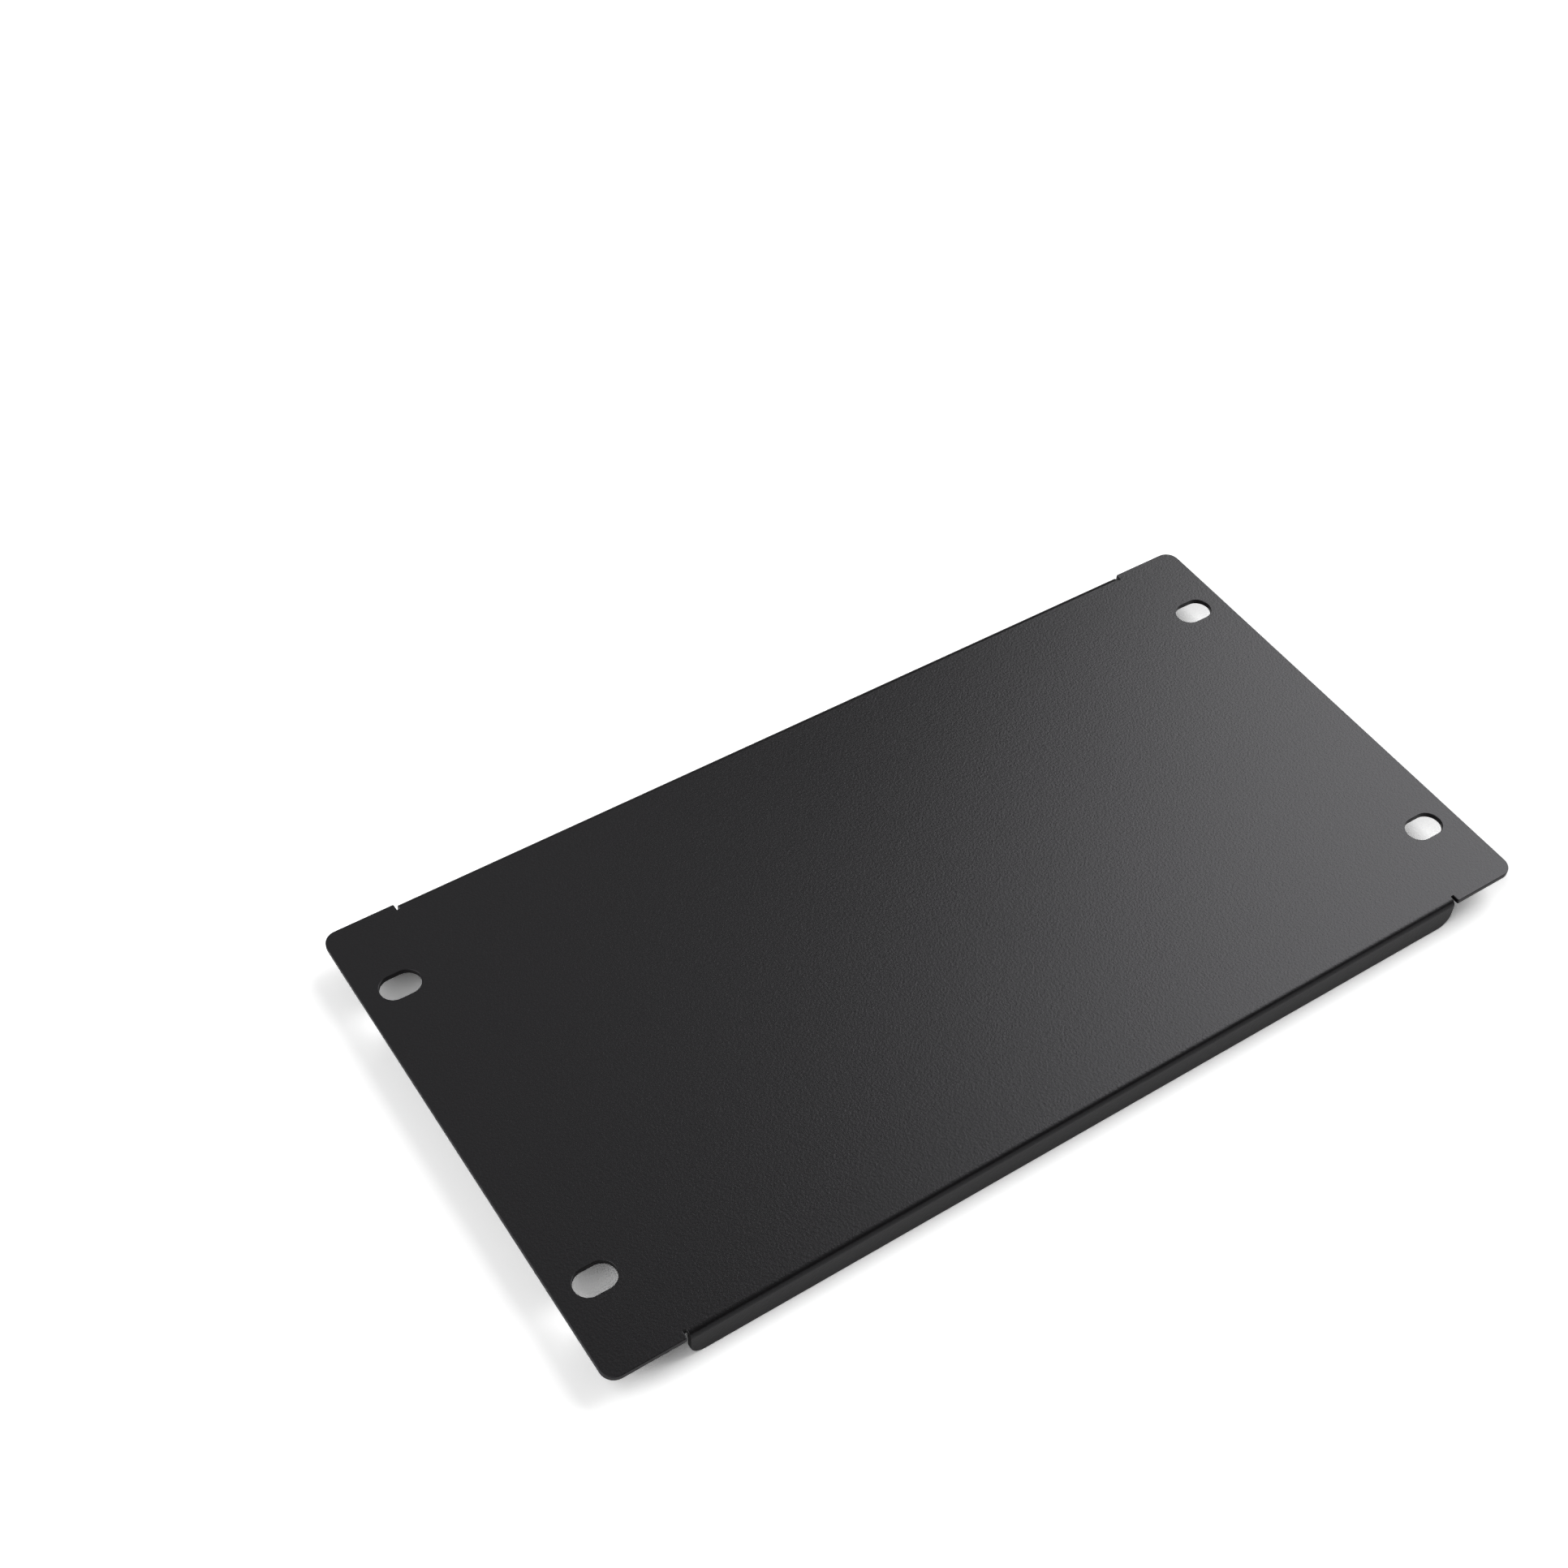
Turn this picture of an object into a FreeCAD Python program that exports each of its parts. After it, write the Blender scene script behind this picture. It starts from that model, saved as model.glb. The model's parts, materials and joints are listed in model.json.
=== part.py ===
"""A rack blanking panel for a ten-inch rack, three units high, as one folded sheet.

The panel is a flat steel sheet whose two long edges are folded down into shallow
flanges. The flanges stop short of the ends, so that flat ears are left for the screws,
and a narrow relief is punched between each flange and ear, where the fold stops. Each
ear has two slots. All sizes are in millimetres. The panel lies face up on its flanges:
x runs along it, y across it, and z = 0 is the surface that the flanges stand on.
"""
import FreeCAD
import Part

import math
import os

# The rack that the panel fits.
rack_unit = 44.45
units_high = 3

# The face, as seen from the front of the rack. It fills its units but for a clearance.
height_clearance = 0.85
panel_length = 254.0
panel_height = units_high * rack_unit - height_clearance
ear_corner_radius = 3.5

# The sheet, with its coating on both sides, and its folds.
sheet_thickness = 1.35
bend_inner_radius = 0.35
flange_depth = 8.5
flange_corner_radius = 3.5

# The square reliefs that part the ears from the flanges. They end just past the bend.
ear_length = 18.7
relief_width = 0.85
relief_past_bend = 0.15
ear_inner_radius = 0.35

# The mounting slots, which run along the panel. Across it they keep the rack's pitch.
slot_from_end = 9.6
slot_pitch_across = (units_high - 1) * rack_unit
slot_length = 10.1
slot_width = 7.0

# Punching draws the edges of the outer side down a little, and the coating rounds them.
edge_round = 0.15

# What follows from the sizes above.
bend_outer_radius = bend_inner_radius + sheet_thickness
half_length = panel_length / 2
half_height = panel_height / 2
ear_start = half_length - ear_length
flange_end = ear_start - relief_width
underside = flange_depth - sheet_thickness
relief_end = half_height - bend_outer_radius - relief_past_bend
relief_middle = flange_end + relief_width / 2
slot_middle = half_length - slot_from_end

along = FreeCAD.Vector(1, 0, 0)
across = FreeCAD.Vector(0, 1, 0)
up = FreeCAD.Vector(0, 0, 1)
sides = (-1, 1)
same_point = 1e-6
sharp_angle = math.radians(45)


def rounded_face(corners):
    """A flat face whose outline has straight runs between (point, radius) corners."""
    edges = []
    starts = []
    ends = []
    for index, (point, radius) in enumerate(corners):
        before = (corners[index - 1][0] - point).normalize()
        after = (corners[(index + 1) % len(corners)][0] - point).normalize()
        half_angle = before.getAngle(after) / 2
        start = point + before * (radius / math.tan(half_angle))
        end = point + after * (radius / math.tan(half_angle))
        if radius > 0:
            centre = point + (before + after).normalize() * (radius / math.sin(half_angle))
            middle = centre + (point - centre).normalize() * radius
            edges.append(Part.Arc(start, middle, end).toShape())
        starts.append(start)
        ends.append(end)
    for index, end in enumerate(ends):
        start = starts[(index + 1) % len(starts)]
        if not end.isEqual(start, same_point):
            edges.append(Part.LineSegment(end, start).toShape())
    return Part.Face(Part.Wire(Part.__sortEdges__(edges)))


def folded_channel():
    """The face with its two flanges: one bent section, run from ear to ear."""
    inner_wall = half_height - sheet_thickness
    outer_line = [(-half_height, 0, 0), (-half_height, flange_depth, bend_outer_radius)]
    inner_line = [(-inner_wall, underside, bend_inner_radius), (-inner_wall, 0, 0)]
    section = outer_line + [(-y, z, radius) for y, z, radius in reversed(outer_line)]
    section += [(-y, z, radius) for y, z, radius in reversed(inner_line)] + inner_line
    corners = [(FreeCAD.Vector(-ear_start, y, z), radius) for y, z, radius in section]
    return rounded_face(corners).extrude(along * 2 * ear_start)


def ear(side):
    """A flat ear, round at its outer corners and just eased beside the relief."""
    corners = [
        (FreeCAD.Vector(side * ear_start, -half_height, underside), ear_inner_radius),
        (FreeCAD.Vector(side * half_length, -half_height, underside), ear_corner_radius),
        (FreeCAD.Vector(side * half_length, half_height, underside), ear_corner_radius),
        (FreeCAD.Vector(side * ear_start, half_height, underside), ear_inner_radius),
    ]
    return rounded_face(corners).extrude(up * sheet_thickness)


def relief_punch(side, edge):
    """The punch that parts a flange from an ear. It runs out past the fold."""
    inner_x = side * flange_end
    outer_x = side * ear_start
    corners = [
        (FreeCAD.Vector(inner_x, edge * relief_end, 0), 0),
        (FreeCAD.Vector(outer_x, edge * relief_end, 0), 0),
        (FreeCAD.Vector(outer_x, edge * panel_height, 0), 0),
        (FreeCAD.Vector(inner_x, edge * panel_height, 0), 0),
    ]
    return rounded_face(corners).extrude(up * flange_depth)


def slot_punch(side, edge):
    """The punch for one mounting slot, with its long way along the panel."""
    centre = FreeCAD.Vector(side * slot_middle, edge * slot_pitch_across / 2, 0)
    half_run = along * (slot_length / 2)
    half_width = across * (slot_width / 2)
    corners = [
        (centre - half_run - half_width, slot_width / 2),
        (centre + half_run - half_width, slot_width / 2),
        (centre + half_run + half_width, slot_width / 2),
        (centre - half_run + half_width, slot_width / 2),
    ]
    return rounded_face(corners).extrude(up * flange_depth)


def flange_corners(panel):
    """The short edges across the sheet at the lower corners of both flanges."""
    found = []
    for edge in panel.Edges:
        middle = edge.CenterOfMass
        at_the_end = abs(abs(middle.x) - flange_end) < same_point
        if at_the_end and abs(middle.z) < same_point:
            found.append(edge)
    return found


def on_outer_side(point):
    """Whether a point is nearer to the outer side of the sheet than to its inner side."""
    half_sheet = sheet_thickness / 2
    on_flange = abs(point.x) < relief_middle and abs(point.y) > half_height - half_sheet
    return on_flange or point.z > flange_depth - half_sheet


def outer_edges(panel):
    """Every edge that lies on the outer side and where two faces meet square."""
    found = []
    for edge in panel.Edges:
        middle = edge.valueAt((edge.FirstParameter + edge.LastParameter) / 2)
        normals = []
        for face in panel.ancestorsOfType(edge, Part.Face):
            normals.append(face.normalAt(*face.Surface.parameter(middle)))
        is_sharp = len(normals) == 2 and normals[0].getAngle(normals[1]) > sharp_angle
        if is_sharp and all(on_outer_side(end.Point) for end in edge.Vertexes):
            found.append(edge)
    return found


def blanking_panel():
    """The whole sheet: folded, punched, and rounded by its coating."""
    panel = folded_channel().fuse([ear(side) for side in sides])
    punches = []
    for side in sides:
        for edge in sides:
            punches.append(relief_punch(side, edge))
            punches.append(slot_punch(side, edge))
    panel = panel.cut(punches).removeSplitter()
    panel = panel.makeFillet(flange_corner_radius, flange_corners(panel))
    return panel.makeFillet(edge_round, outer_edges(panel))


os.makedirs("parts", exist_ok=True)
finished_panel = blanking_panel()
finished_panel.exportStep("parts/blanking_panel.step")
print("volume", round(finished_panel.Volume, 1), "faces", len(finished_panel.Faces))
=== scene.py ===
# %% [markdown]
# A blanking panel for a ten-inch equipment rack: one steel sheet, folded down along its
# two long edges, punched with four slots and coated with black powder.
# This lesson dresses the finished construction model for a product picture. It builds
# the sheet again as a fine mesh, gives it its coating, and lights it as a studio would.

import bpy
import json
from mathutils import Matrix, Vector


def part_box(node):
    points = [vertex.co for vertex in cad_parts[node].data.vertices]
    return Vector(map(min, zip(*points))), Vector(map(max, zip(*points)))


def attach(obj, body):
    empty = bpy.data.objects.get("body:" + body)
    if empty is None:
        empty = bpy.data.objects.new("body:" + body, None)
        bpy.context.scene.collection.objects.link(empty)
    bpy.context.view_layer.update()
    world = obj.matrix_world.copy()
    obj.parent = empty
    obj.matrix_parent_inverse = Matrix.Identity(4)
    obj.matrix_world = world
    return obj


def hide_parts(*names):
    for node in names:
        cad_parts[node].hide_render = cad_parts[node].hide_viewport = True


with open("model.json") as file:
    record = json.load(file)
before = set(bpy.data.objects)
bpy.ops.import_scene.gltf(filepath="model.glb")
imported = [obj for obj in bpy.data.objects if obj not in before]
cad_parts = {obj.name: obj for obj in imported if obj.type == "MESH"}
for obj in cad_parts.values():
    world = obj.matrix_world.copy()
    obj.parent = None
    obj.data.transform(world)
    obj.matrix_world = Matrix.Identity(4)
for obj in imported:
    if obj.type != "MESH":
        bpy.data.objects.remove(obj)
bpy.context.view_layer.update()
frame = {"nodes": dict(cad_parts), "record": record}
print("The construction model holds", sorted(frame["nodes"]))

# %% [markdown]
# The sizes come from the construction model wherever it can give them. Its box gives
# the length, the height and the depth of the folds. The mount on the ears gives the
# slots, and how far the back of the ears lies below the face gives the thickness.
# Only the small radii and the reliefs have to be said again, in millimetres.

# %% Sizes of the sheet
mm = 0.001
node_name = "blanking_panel"
low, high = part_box(node_name)
half_length = high.x
half_height = high.y
face_height = high.z
slots = next(mount for mount in frame["record"]["mounts"] if mount["name"] == "mounting_slots")
thickness = face_height - slots["pos_m"][2]
print("Panel", round(2 * half_length / mm, 2), "by", round(2 * half_height / mm, 2), "mm")
print("Sheet", round(thickness / mm, 2), "mm thick")

# %% Small sizes that the construction model doesn't tell
ear_length = 18.7 * mm
relief_width = 0.85 * mm
relief_past_bend = 0.15 * mm
relief_corner = 0.1 * mm
ear_corner = 3.5 * mm
ear_inner_corner = 0.35 * mm
flange_corner = 3.5 * mm
bend_inner_radius = 0.35 * mm
edge_round = 0.15 * mm
back_round = 0.05 * mm
print("Edges rounded by", round(edge_round / mm, 2), "mm on the face")

# %% [markdown]
# A folded sheet is made flat first. The flat pattern is cut, and only then is it bent.
# The mesh is made in the same order. It could also be joined from a plate and two
# strips, but then the bend would need a seam, and the reliefs would end in the wrong
# place. In the flat pattern the flange is longer than it stands in the end, because
# the bend takes up a quarter circle of it.

# %% The flat pattern
from mathutils import Matrix, Vector
import math

bend_radius = thickness + bend_inner_radius
bend_start = half_height - bend_radius
bend_run = bend_radius * math.pi / 2
flat_edge = bend_start + bend_run + face_height - bend_radius
ear_start = half_length - ear_length
flange_end = ear_start - relief_width
relief_end = bend_start - relief_past_bend


def quarter_pattern():
    """The corners of one quarter of the flat pattern, from the flange to the ear."""
    return [
        (Vector((flange_end, flat_edge)), flange_corner),
        (Vector((flange_end, relief_end)), relief_corner),
        (Vector((ear_start, relief_end)), relief_corner),
        (Vector((ear_start, half_height)), ear_inner_corner),
        (Vector((half_length, half_height)), ear_corner),
    ]


def whole_pattern():
    """The corners of the whole flat pattern, counterclockwise."""
    corners = []
    for side_x, side_y in ((1, -1), (1, 1), (-1, 1), (-1, -1)):
        quarter = [
            (Vector((place.x * side_x, place.y * side_y)), radius)
            for place, radius in quarter_pattern()
        ]
        corners += quarter if side_x * side_y < 0 else quarter[::-1]
    return corners


print("Flat pattern", round(2 * flat_edge / mm, 1), "mm across before folding")

# %% [markdown]
# The slots are punched in the flat too, while the sheet lies in one plane. They could be
# cut from the finished mesh with a boolean, but that leaves ragged triangles round each
# slot. Drawn as outlines of their own, they get the same clean rounded edge as the rim.

# %% The slots in the flat pattern
def slot_pattern(side_x, side_y):
    """The corners of one slot, clockwise. Its radius makes both ends full round."""
    dims = slots["dims"]
    centre = Vector((side_x * dims["spacing_x_mm"], side_y * dims["spacing_y_mm"])) * mm / 2
    radius = dims["hole_r_mm"] * mm
    reach = dims["slot_length_mm"] * mm / 2
    around = ((-1, -1), (-1, 1), (1, 1), (1, -1))
    return [
        (centre + Vector((along * reach, across * radius)), radius) for along, across in around
    ]


print("Slots", slots["dims"]["slot_length_mm"], "by", 2 * slots["dims"]["hole_r_mm"], "mm")

# %% [markdown]
# Every corner of the pattern is an arc. Each point on the outline also remembers which
# way is out, so that the rounding of the edge can be built straight inwards from it. The
# bevel tool could round the corners later, but by then that direction would be lost.

# %% Round the corners of an outline
steps_per_right_angle = 12
same_place = 0.0001 * mm


def rounded_outline(corners):
    """Points along an outline with the material on its left, each with its way out."""
    outline = []
    for index, (place, radius) in enumerate(corners):
        arriving = (place - corners[index - 1][0]).normalized()
        leaving = (corners[(index + 1) % len(corners)][0] - place).normalized()
        turn = math.atan2(arriving.cross(leaving), arriving.dot(leaving))
        start = place - arriving * radius * math.tan(abs(turn) / 2)
        way_out = Vector((arriving.y, -arriving.x))
        bulge = math.copysign(radius, turn)
        centre = start - way_out * bulge
        steps = round(steps_per_right_angle * abs(turn) / (math.pi / 2))
        for step in range(steps + 1):
            turned = Matrix.Rotation(turn * step / steps, 2) @ way_out
            outline.append((centre + turned * bulge, turned))
    return [
        (point, out)
        for index, (point, out) in enumerate(outline)
        if (point - outline[index - 1][0]).length > same_place
    ]


print("Outline of", len(rounded_outline(whole_pattern())), "points")

# %% [markdown]
# Powder melts into a skin that pulls back from sharp edges and leaves them round. So
# the cut edge is a quarter circle from the face, a flat wall, and a quarter circle to
# the back. A bevel modifier could do this too, but it would have to guess at the tight
# corners of the reliefs, where this builds them exactly. Each point also keeps the
# direction in which the real surface faces there, for the shading.

# %% The rounded wall along one outline
round_steps = 4


def edge_profile():
    """From the face to the back: how far in each step lies, how deep, and how it faces."""
    quarter = [math.pi / 2 * step / round_steps for step in range(round_steps + 1)]
    steps = []
    for angle in quarter:
        inset = edge_round * (1 - math.sin(angle))
        steps.append((inset, edge_round * (1 - math.cos(angle)), angle))
    for angle in reversed(quarter):
        inset = back_round * (1 - math.sin(angle))
        steps.append((inset, thickness - back_round * (1 - math.cos(angle)), math.pi - angle))
    return steps


def edges_of(bm, ring):
    """The edges that join a closed ring of points."""
    return [bm.edges.get(pair) for pair in zip(ring, ring[1:] + ring[:1])]


def cut_edge(bm, outline, facing):
    """The wall along one outline. It gives back its first and its last ring of edges."""
    rings = []
    for inset, depth, angle in edge_profile():
        ring = []
        for point, out in outline:
            place = point - out * inset
            vertex = bm.verts.new((place.x, place.y, -depth))
            vertex[facing] = (out.x * math.sin(angle), out.y * math.sin(angle), math.cos(angle))
            ring.append(vertex)
        rings.append(ring)
    for upper, lower in zip(rings, rings[1:]):
        for index in range(len(outline)):
            after = (index + 1) % len(outline)
            bm.faces.new((upper[index], lower[index], lower[after], upper[after]))
    return edges_of(bm, rings[0]), edges_of(bm, rings[-1])


print("The wall has", len(edge_profile()), "steps from the face to the back")

# %% [markdown]
# Walls alone are not a sheet. The face and the back still have to be closed round the
# four slots. One large polygon can't have holes in it, and a grid would need its squares
# trimmed at every arc. So the fill tool spans the space between all the outlines with
# triangles, which is enough for a surface that is truly flat.

# %% Build the flat sheet
import bmesh


def flat_sheet():
    """The flat sheet as a closed mesh, with its face at zero and its back below."""
    bm = bmesh.new()
    facing = bm.verts.layers.float_vector.new("facing")
    outlines = [rounded_outline(whole_pattern())]
    for side_x in (-1, 1):
        for side_y in (-1, 1):
            outlines.append(rounded_outline(slot_pattern(side_x, side_y)))
    face_edges = []
    back_edges = []
    for outline in outlines:
        face_ring, back_ring = cut_edge(bm, outline, facing)
        face_edges += face_ring
        back_edges += back_ring
    for edges in (face_edges, back_edges):
        bmesh.ops.triangle_fill(bm, edges=edges, use_beauty=True)
    return bm


sheet = flat_sheet()
print("Flat sheet of", len(sheet.faces), "faces")

# %% [markdown]
# A press brake folds the sheet over an edge. The mesh needs lines to fold along, so it
# is cut with a row of planes across each bend. Then every point is moved by one rule:
# along the face it stays, round the bend it turns, and past the bend it goes straight
# down. A point below the face turns on a smaller radius, which gives the bend its true
# inner curve. The simple deform modifier bends too, but it can't leave the ears flat.

# %% Score the sheet where it bends
bend_steps = 16


def score_bends(bm):
    """Cuts the mesh along the lines where it bends."""
    for side in (-1, 1):
        for step in range(bend_steps + 1):
            line = side * (bend_start + bend_run * step / bend_steps)
            everything = bm.verts[:] + bm.edges[:] + bm.faces[:]
            bmesh.ops.bisect_plane(
                bm, geom=everything, dist=same_place, plane_co=(0, line, 0), plane_no=(0, 1, 0)
            )


score_bends(sheet)
print("Scored sheet of", len(sheet.faces), "faces")

# %% Fold the sheet
mid_relief = (flange_end + ear_start) / 2


def fold(place, facing):
    """Where a point of the flat sheet lies once it is folded, and which way it then faces."""
    side = math.copysign(1, place.y)
    past = abs(place.y) - bend_start
    if abs(place.x) > mid_relief or past <= 0:
        return Vector((place.x, place.y, face_height + place.z)), facing
    angle = min(past / bend_radius, math.pi / 2)
    drop = max(past - bend_run, 0)
    radius = bend_radius + place.z
    out = bend_start + radius * math.sin(angle)
    height = face_height - bend_radius + radius * math.cos(angle) - drop
    turn = Matrix.Rotation(-side * angle, 3, "X")
    return Vector((place.x, side * out, height)), turn @ facing


facing_layer = sheet.verts.layers.float_vector["facing"]
for vertex in sheet.verts:
    vertex.co, vertex[facing_layer] = fold(vertex.co, vertex[facing_layer])
bmesh.ops.recalc_face_normals(sheet, faces=sheet.faces)
open_edges = sum(not edge.is_manifold for edge in sheet.edges)
print("Folded sheet of", round(sheet.calc_volume() / mm**3), "cubic mm, open edges:", open_edges)

# %% [markdown]
# The panel is one sheet, so it is one object, and it takes the place of the one node of
# the construction model. Smooth shading usually guesses a direction at each point from
# the faces round it, which leaves faint streaks on a large flat face. Here the shading
# takes the directions that the cut and the fold have kept, so the face stays perfectly
# flat right up to its rounded edge.

# %% Make the panel
import bpy


def make_panel():
    """The finished panel as one object in place of the construction node."""
    facing = [vertex[facing_layer].normalized() for vertex in sheet.verts]
    mesh = bpy.data.meshes.new("folded_panel")
    sheet.to_mesh(mesh)
    sheet.free()
    mesh.shade_smooth()
    mesh.normals_split_custom_set_from_vertices(facing)
    piece = bpy.data.objects.new("folded_panel", mesh)
    bpy.context.scene.collection.objects.link(piece)
    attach(piece, "root")
    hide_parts(node_name)
    return piece


panel = make_panel()
print("Panel of", len(panel.data.polygons), "faces")

# %% [markdown]
# The finish is polyester powder coat on steel. The powder is sprayed on dry and baked
# until it melts into a film. It could be made from a painted picture of specks, but a
# procedural grain has no seams and needs no unwrapping. Two small helpers come first:
# one turns the colours that people write into the ones that shaders use, and one adds
# a node with its settings and links in a single line.

# %% Helpers for materials
def linear(hex_colour):
    """A colour written as sRGB hex, turned to the linear values that shaders use."""
    values = []
    for start in (1, 3, 5):
        value = int(hex_colour[start : start + 2], 16) / 255
        values.append(value / 12.92 if value <= 0.04045 else ((value + 0.055) / 1.055) ** 2.4)
    return values + [1]


def add_node(tree, kind, settings=None, **links):
    """A node with its values set by name, and its inputs linked from other sockets."""
    node = tree.nodes.new(kind)
    for name, value in (settings or {}).items():
        if name in node.inputs:
            node.inputs[name].default_value = value
        else:
            setattr(node, name, value)
    for name, socket in links.items():
        tree.links.new(socket, node.inputs[name.replace("_", " ")])
    return node


def empty_material(name):
    """A material whose node tree holds nothing yet."""
    material = bpy.data.materials.new(name)
    material.use_nodes = True
    material.node_tree.nodes.clear()
    return material


print("White is", linear("#ffffff")[:3], "and middle grey", round(linear("#808080")[0], 3))

# %% [markdown]
# The coat is a resin, so it reflects as one: IOR 1.5, with no metal in it. It is nearly
# black, so almost all that the eye gets from it is its sheen, which is soft and a trace
# cooler than the light. The grain is the orange peel that the melting powder leaves. Its
# lumps are a little over half a millimetre wide and some hundredths of one high, and
# they give the sheen its fine, dry sparkle.

# %% The powder coat
def black_powder_coat():
    """Powder coat: near-black resin, satin, with a fine grain."""
    material = empty_material("polyester powder coat, satin black")
    tree = material.node_tree
    place = add_node(tree, "ShaderNodeTexCoord").outputs["Object"]
    lump_width = 0.6 * mm
    lump_height = 0.043 * mm
    lumps = add_node(
        tree,
        "ShaderNodeTexNoise",
        {"Scale": 1 / lump_width, "Detail": 3.0, "Roughness": 0.6},
        Vector=place,
    )
    grain = add_node(
        tree,
        "ShaderNodeBump",
        {"Strength": 1.0, "Distance": lump_height},
        Height=lumps.outputs["Fac"],
    )
    film = add_node(
        tree,
        "ShaderNodeBsdfPrincipled",
        {
            "Base Color": linear("#0d0c0d"),
            "Metallic": 0.0,
            "Roughness": 0.3,
            "IOR": 1.5,
            "Specular Tint": linear("#fbfaff"),
        },
        Normal=grain.outputs["Normal"],
    )
    add_node(tree, "ShaderNodeOutputMaterial", Surface=film.outputs["BSDF"])
    return material


panel.data.materials.append(black_powder_coat())
print("Coated with", panel.data.materials[0].name)

# %% [markdown]
# The panel lies on a sweep of white paper, the plainest floor there is. In a product
# picture the paper is printed as pure white, with only the soft shadow left on it. That
# could be reached with more light, but then the panel would go pale too. So the paper
# has two looks. To the lamps and the panel it is a light grey that gives little light
# back, and the flanges stay dark. To the camera its white is pulled up past one, as the
# levels of such a picture are, and away from the panel it also glows a little by itself,
# until it is white whatever lights it.

# %% The floor
white_to_the_lamps = 0.5
white_to_the_camera = 1.45
glow_starts = 0.25
glow_ends = 1.0


def white_paper():
    """White paper: quite matt, and whiter to the camera than the light would make it."""
    material = empty_material("white paper sweep")
    tree = material.node_tree
    seen = add_node(tree, "ShaderNodeLightPath").outputs["Is Camera Ray"]
    white = add_node(
        tree,
        "ShaderNodeMapRange",
        {"To Min": white_to_the_lamps, "To Max": white_to_the_camera},
        Value=seen,
    )
    paper = add_node(tree, "ShaderNodeBsdfDiffuse", Color=white.outputs["Result"])
    place = add_node(tree, "ShaderNodeTexCoord").outputs["Object"]
    away = add_node(tree, "ShaderNodeVectorMath", {"operation": "LENGTH"}, Vector=place)
    rise = add_node(
        tree,
        "ShaderNodeMapRange",
        {"From Min": glow_starts, "From Max": glow_ends},
        Value=away.outputs["Value"],
    )
    glow = add_node(tree, "ShaderNodeMapRange", Value=seen, To_Max=rise.outputs["Result"])
    light = add_node(tree, "ShaderNodeEmission", Strength=glow.outputs["Result"])
    both = add_node(tree, "ShaderNodeAddShader")
    tree.links.new(paper.outputs["BSDF"], both.inputs[0])
    tree.links.new(light.outputs["Emission"], both.inputs[1])
    add_node(tree, "ShaderNodeOutputMaterial", Surface=both.outputs["Shader"])
    return material


floor_width = 8
bpy.ops.mesh.primitive_plane_add(size=floor_width)
floor = bpy.context.object
floor.name = "floor"
floor.data.materials.append(white_paper())
print("White paper,", floor_width, "m wide, under the flanges")

# %% [markdown]
# A dark satin surface shows its lamps more than its colour, so the lamps are placed by
# what they draw on it. Sun or spot lamps would draw small hard glints, so large
# rectangular lamps stand for the softboxes of a studio. A lamp is given by where it hangs
# as seen from the panel, how far its front is tilted down, how large it is, and how
# bright its front looks, where one is as bright as white paper in plain light. Asking
# for the brightness keeps the look when a size changes. Angles are in degrees and
# lengths in metres.

# %% A softbox
def compass_way(azimuth, elevation):
    """The direction at an angle round from the back of the panel and an angle up."""
    azimuth = math.radians(azimuth)
    elevation = math.radians(elevation)
    level = math.cos(elevation)
    return Vector((math.sin(azimuth) * level, math.cos(azimuth) * level, math.sin(elevation)))


def softbox(name, azimuth, elevation, tilt, distance, width, height, brightness):
    """A large soft lamp that the camera doesn't see itself."""
    lamp = bpy.data.lights.new(name, "AREA")
    lamp.shape = "RECTANGLE"
    lamp.size = width
    lamp.size_y = height
    lamp.energy = brightness * math.pi * width * height
    piece = bpy.data.objects.new(name, lamp)
    bpy.context.scene.collection.objects.link(piece)
    piece.location = compass_way(azimuth, elevation) * distance
    piece.rotation_euler = compass_way(azimuth, tilt).to_track_quat("Z", "Y").to_euler()
    piece.visible_camera = False
    print(name, "of", width, "by", height, "m,", round(lamp.energy), "W")


print("At 90 degrees a lamp hangs toward", compass_way(90, 0).to_tuple(2))

# %% [markdown]
# The high softbox on the right draws the soft glow that fills the right half of the face
# and dies away to the left. A coat mirrors most at a glancing angle, so a lamp that is
# seen low over the face can turn it white. So this one ends well above the floor, and
# only a dim apron hangs below it. The two lamps on the left, one above the other, fill
# the shadows but lie outside what the camera sees mirrored, so the left half stays
# black. The rest are faint: one more on the right and a strip in front open the shadows
# there, and one behind the panel keeps its far edge from sinking.

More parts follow.
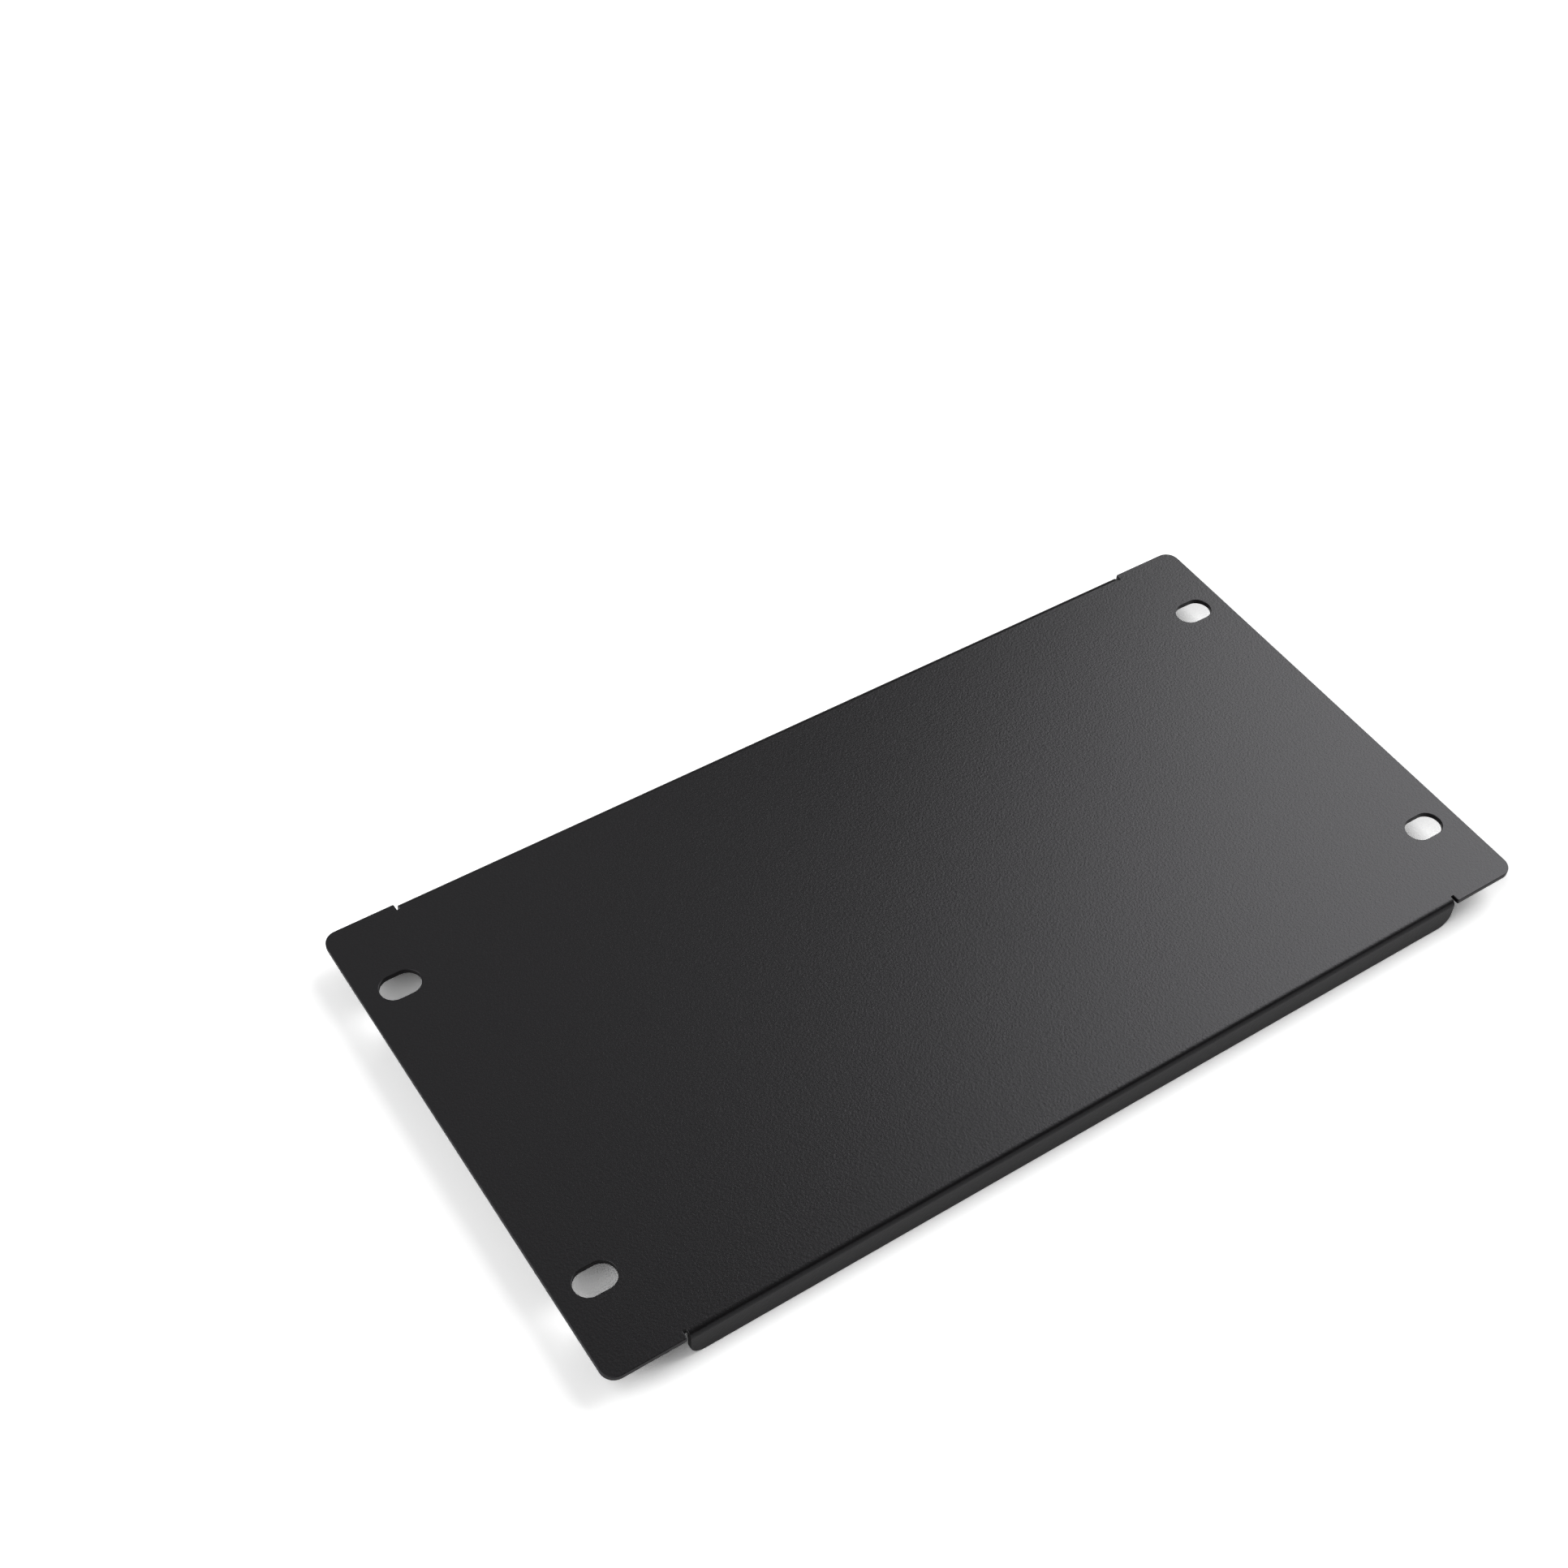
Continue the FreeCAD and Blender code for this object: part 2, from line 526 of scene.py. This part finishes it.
# %% Light the panel
# Name, azimuth, elevation, tilt, distance, width, height, brightness.
softbox("right softbox", 78, 47.4, 7, 4.5, 3.7, 4.0, 3.4)
softbox("right apron", 78, 12.5, 7, 3.1, 3.7, 1.3, 1.2)
softbox("right fill", 105, 32, 32, 3.0, 2.0, 1.6, 0.9)
softbox("upper left softbox", -95, 50, 50, 2.6, 3.4, 2.4, 1.65)
softbox("lower left softbox", -80, 28, 28, 2.8, 2.2, 1.3, 2.2)
softbox("back fill", 0, 45, 45, 2.6, 2.2, 2.2, 0.44)
softbox("front strip", 180, 12, 0, 3.0, 6.0, 1.2, 0.48)

# %% [markdown]
# Round the softboxes a studio is dark, and that keeps the black of the panel deep. A
# picture of a room could stand round it instead, but the panel would mirror every window
# in it. Only where the camera looks past the floor does the world show white, as the
# floor does.

# %% The world
world = bpy.data.worlds.new("studio")
bpy.context.scene.world = world
world.use_nodes = True
world_tree = world.node_tree
world_tree.nodes.clear()
seen = add_node(world_tree, "ShaderNodeLightPath").outputs["Is Camera Ray"]
white = add_node(world_tree, "ShaderNodeBackground", {"Color": (1, 1, 1, 1)}, Strength=seen)
add_node(world_tree, "ShaderNodeOutputWorld", Surface=white.outputs["Background"])
print("World", world.name, "is white to the camera alone")

# %% [markdown]
# The camera looks down from the front left, as in the photograph. It could be set by
# eye, but a few pixels of error would show wherever two edges are compared. So its place
# and lens were worked out from where the corners and slots of the panel lie in it. The
# lens is given in pixels of the picture and turned to millimetres of sensor, and the
# small shift says how far the middle of the lens lies from the middle of the picture.

# %% Camera
photo_side = 1932
lens_pixels = 2831.1
shift_right_pixels = -36.4
shift_up_pixels = -1.6
camera_roll = math.radians(3.2)
camera_data = bpy.data.cameras.new("camera")
camera_data.sensor_width = 36
camera_data.lens = lens_pixels / photo_side * camera_data.sensor_width
camera_data.shift_x = shift_right_pixels / photo_side
camera_data.shift_y = shift_up_pixels / photo_side
camera = bpy.data.objects.new("camera", camera_data)
bpy.context.scene.collection.objects.link(camera)
camera.location = Vector((-224.3, -260.0, 434.2)) * mm
aim = Vector((-3.17, 46.44, 8.5)) * mm
look = (aim - camera.location).to_track_quat("-Z", "Y")
camera.rotation_euler = (look @ Matrix.Rotation(camera_roll, 3, "Z").to_quaternion()).to_euler()
bpy.context.scene.camera = camera
bpy.context.scene.view_settings.view_transform = "Standard"
print("Camera with a lens of", round(camera_data.lens, 1), "mm")
print("It hangs", round(camera.location.z / mm), "mm above the floor")

# %% [markdown]
# The box of the dressed panel should agree with that of the construction model, because dressing
# never changes the size of a part.

# %% Finish
import json
